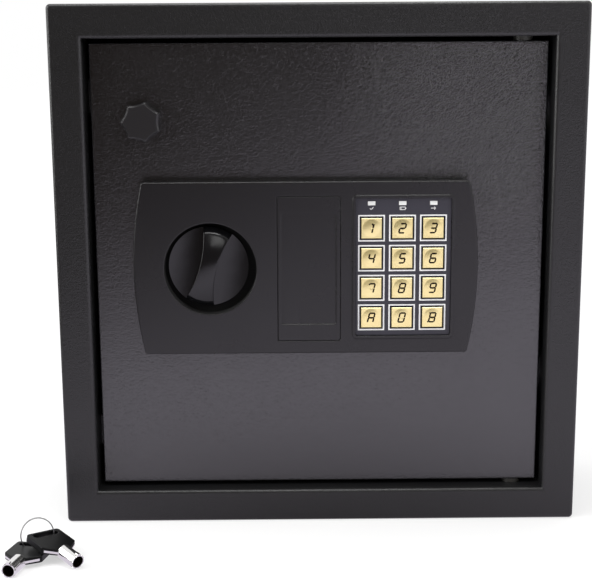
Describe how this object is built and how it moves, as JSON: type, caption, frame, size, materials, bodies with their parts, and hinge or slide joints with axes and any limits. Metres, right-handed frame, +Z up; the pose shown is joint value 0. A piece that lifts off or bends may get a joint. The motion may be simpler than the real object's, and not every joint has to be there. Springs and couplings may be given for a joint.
{
  "type": "electronic key cabinet",
  "caption": "Square wall-mounted steel key cabinet with a recessed door, a lock panel with knob and keypad, bolt work behind the door and racks of key hooks inside.",
  "frame": {"origin": "middle of the underside of the cabinet", "axes": "+Z up, +Y from the front of the cabinet towards the wall, +X to the right seen from the front"},
  "size_m": [0.3945, 0.2165, 0.365],
  "materials": {
    "powder_coat": "textured black powder coat",
    "black_abs": "moulded black plastic",
    "knob_abs": "glossy black plastic",
    "slate_plate": "dark slate plastic",
    "gold_key": "gold-coloured satin metal",
    "white_light": "white diffuser",
    "zinc_steel": "zinc-plated steel",
    "chrome": "polished chrome plate",
    "spring_steel": "bright spring wire",
    "circuit_board": "green circuit board",
    "copper_coil": "taped copper winding",
    "battery_wrap": "plain battery wrap",
    "red_button": "red plastic",
    "brass": "brass",
    "washer_nylon": "white nylon"
  },
  "bodies": {
    "cabinet": {"body_shell": "powder_coat", "back_panel": "powder_coat", "hinge_washers": "washer_nylon", "rack_rails": "powder_coat", "key_bar_1": "powder_coat", "key_bar_2": "powder_coat", "key_bar_3": "powder_coat", "key_bar_4": "powder_coat", "key_bar_5": "powder_coat", "key_bar_6": "powder_coat", "key_hooks": "zinc_steel"},
    "door": {"door_panel": "powder_coat", "hinge_blocks": "zinc_steel", "hinge_pins": "zinc_steel", "lock_panel": "black_abs", "panel_screws": "zinc_steel", "battery_tray": "black_abs", "batteries": "battery_wrap", "battery_contacts": "spring_steel", "keypad_plate": "slate_plate", "indicator_lights": "white_light", "keypad_board": "circuit_board", "control_board": "circuit_board", "solenoid_frame": "zinc_steel", "solenoid_coil": "copper_coil", "plunger_spring": "spring_steel", "bolt_guide": "zinc_steel", "carriage_studs": "zinc_steel", "override_lock_body": "chrome", "override_lock_nut": "brass", "inner_cover": "powder_coat", "cover_posts": "zinc_steel", "cover_screws": "zinc_steel", "reset_switch": "black_abs"},
    "knob": {"knob": "knob_abs", "drive_shaft": "zinc_steel", "drive_cam": "zinc_steel"},
    "bolt_carriage": {"bolt_carriage": "zinc_steel", "locking_bolts": "chrome"},
    "solenoid_plunger": {"solenoid_plunger": "zinc_steel"},
    "battery_cover": {"battery_cover": "black_abs"},
    "override_cap": {"override_cap": "knob_abs"},
    "override_core": {"override_lock_core": "brass", "override_cam": "zinc_steel"},
    "reset_button": {"reset_button": "red_button"},
    "override_keys": {"key_barrels": "chrome", "key_bows": "black_abs", "key_ring": "chrome"},
    "keypad_button_1": {"keypad_button_1": "gold_key"},
    "keypad_button_2": {"keypad_button_2": "gold_key"},
    "keypad_button_3": {"keypad_button_3": "gold_key"},
    "keypad_button_4": {"keypad_button_4": "gold_key"},
    "keypad_button_5": {"keypad_button_5": "gold_key"},
    "keypad_button_6": {"keypad_button_6": "gold_key"},
    "keypad_button_7": {"keypad_button_7": "gold_key"},
    "keypad_button_8": {"keypad_button_8": "gold_key"},
    "keypad_button_9": {"keypad_button_9": "gold_key"},
    "keypad_button_a": {"keypad_button_a": "gold_key"},
    "keypad_button_0": {"keypad_button_0": "gold_key"},
    "keypad_button_b": {"keypad_button_b": "gold_key"}
  },
  "joints": [
    {"name": "door_swing", "type": "hinge", "parent": "cabinet", "child": "door", "pos_m": [0.14, -0.041, 0.1825], "axis": [0, 0, 1], "range_deg": [0, 100]},
    {"name": "knob_turn", "type": "hinge", "parent": "door", "child": "knob", "pos_m": [-0.0773, -0.0513, 0.1861], "axis": [0, 1, 0], "range_deg": [0, 90]},
    {"name": "bolt_throw", "type": "slide", "parent": "door", "child": "bolt_carriage", "axis": [-1, 0, 0], "range_m": [0, 0.01556]},
    {"name": "plunger_drop", "type": "slide", "parent": "door", "child": "solenoid_plunger", "axis": [0, 0, -1], "range_m": [0, 0.004], "deforming": ["plunger_spring"]},
    {"name": "battery_cover_off", "type": "slide", "parent": "door", "child": "battery_cover", "axis": [0, -1, 0], "range_m": [0, 0.02]},
    {"name": "override_cap_off", "type": "slide", "parent": "door", "child": "override_cap", "axis": [0, -1, 0], "range_m": [0, 0.025]},
    {"name": "override_turn", "type": "hinge", "parent": "door", "child": "override_core", "pos_m": [-0.1215, -0.048, 0.286], "axis": [0, 1, 0], "range_deg": [-90, 0]},
    {"name": "reset_press", "type": "slide", "parent": "door", "child": "reset_button", "axis": [0, -1, 0], "range_m": [0, 0.0012], "stiffness_N_per_m": 500, "springref_m": -0.001},
    {"name": "keys_lift", "type": "slide", "parent": "cabinet", "child": "override_keys", "axis": [0, 0, 1], "range_m": [0, 0.1]},
    {"name": "press_1", "type": "slide", "parent": "door", "child": "keypad_button_1", "axis": [0, 1, 0], "range_m": [0, 0.0008], "stiffness_N_per_m": 500, "springref_m": -0.001},
    {"name": "press_2", "type": "slide", "parent": "door", "child": "keypad_button_2", "axis": [0, 1, 0], "range_m": [0, 0.0008], "stiffness_N_per_m": 500, "springref_m": -0.001},
    {"name": "press_3", "type": "slide", "parent": "door", "child": "keypad_button_3", "axis": [0, 1, 0], "range_m": [0, 0.0008], "stiffness_N_per_m": 500, "springref_m": -0.001},
    {"name": "press_4", "type": "slide", "parent": "door", "child": "keypad_button_4", "axis": [0, 1, 0], "range_m": [0, 0.0008], "stiffness_N_per_m": 500, "springref_m": -0.001},
    {"name": "press_5", "type": "slide", "parent": "door", "child": "keypad_button_5", "axis": [0, 1, 0], "range_m": [0, 0.0008], "stiffness_N_per_m": 500, "springref_m": -0.001},
    {"name": "press_6", "type": "slide", "parent": "door", "child": "keypad_button_6", "axis": [0, 1, 0], "range_m": [0, 0.0008], "stiffness_N_per_m": 500, "springref_m": -0.001},
    {"name": "press_7", "type": "slide", "parent": "door", "child": "keypad_button_7", "axis": [0, 1, 0], "range_m": [0, 0.0008], "stiffness_N_per_m": 500, "springref_m": -0.001},
    {"name": "press_8", "type": "slide", "parent": "door", "child": "keypad_button_8", "axis": [0, 1, 0], "range_m": [0, 0.0008], "stiffness_N_per_m": 500, "springref_m": -0.001},
    {"name": "press_9", "type": "slide", "parent": "door", "child": "keypad_button_9", "axis": [0, 1, 0], "range_m": [0, 0.0008], "stiffness_N_per_m": 500, "springref_m": -0.001},
    {"name": "press_a", "type": "slide", "parent": "door", "child": "keypad_button_a", "axis": [0, 1, 0], "range_m": [0, 0.0008], "stiffness_N_per_m": 500, "springref_m": -0.001},
    {"name": "press_0", "type": "slide", "parent": "door", "child": "keypad_button_0", "axis": [0, 1, 0], "range_m": [0, 0.0008], "stiffness_N_per_m": 500, "springref_m": -0.001},
    {"name": "press_b", "type": "slide", "parent": "door", "child": "keypad_button_b", "axis": [0, 1, 0], "range_m": [0, 0.0008], "stiffness_N_per_m": 500, "springref_m": -0.001}
  ],
  "couplings": [
    {"joint": "knob_turn", "follows": "bolt_throw", "rad_per_m": 100.97}
  ]
}
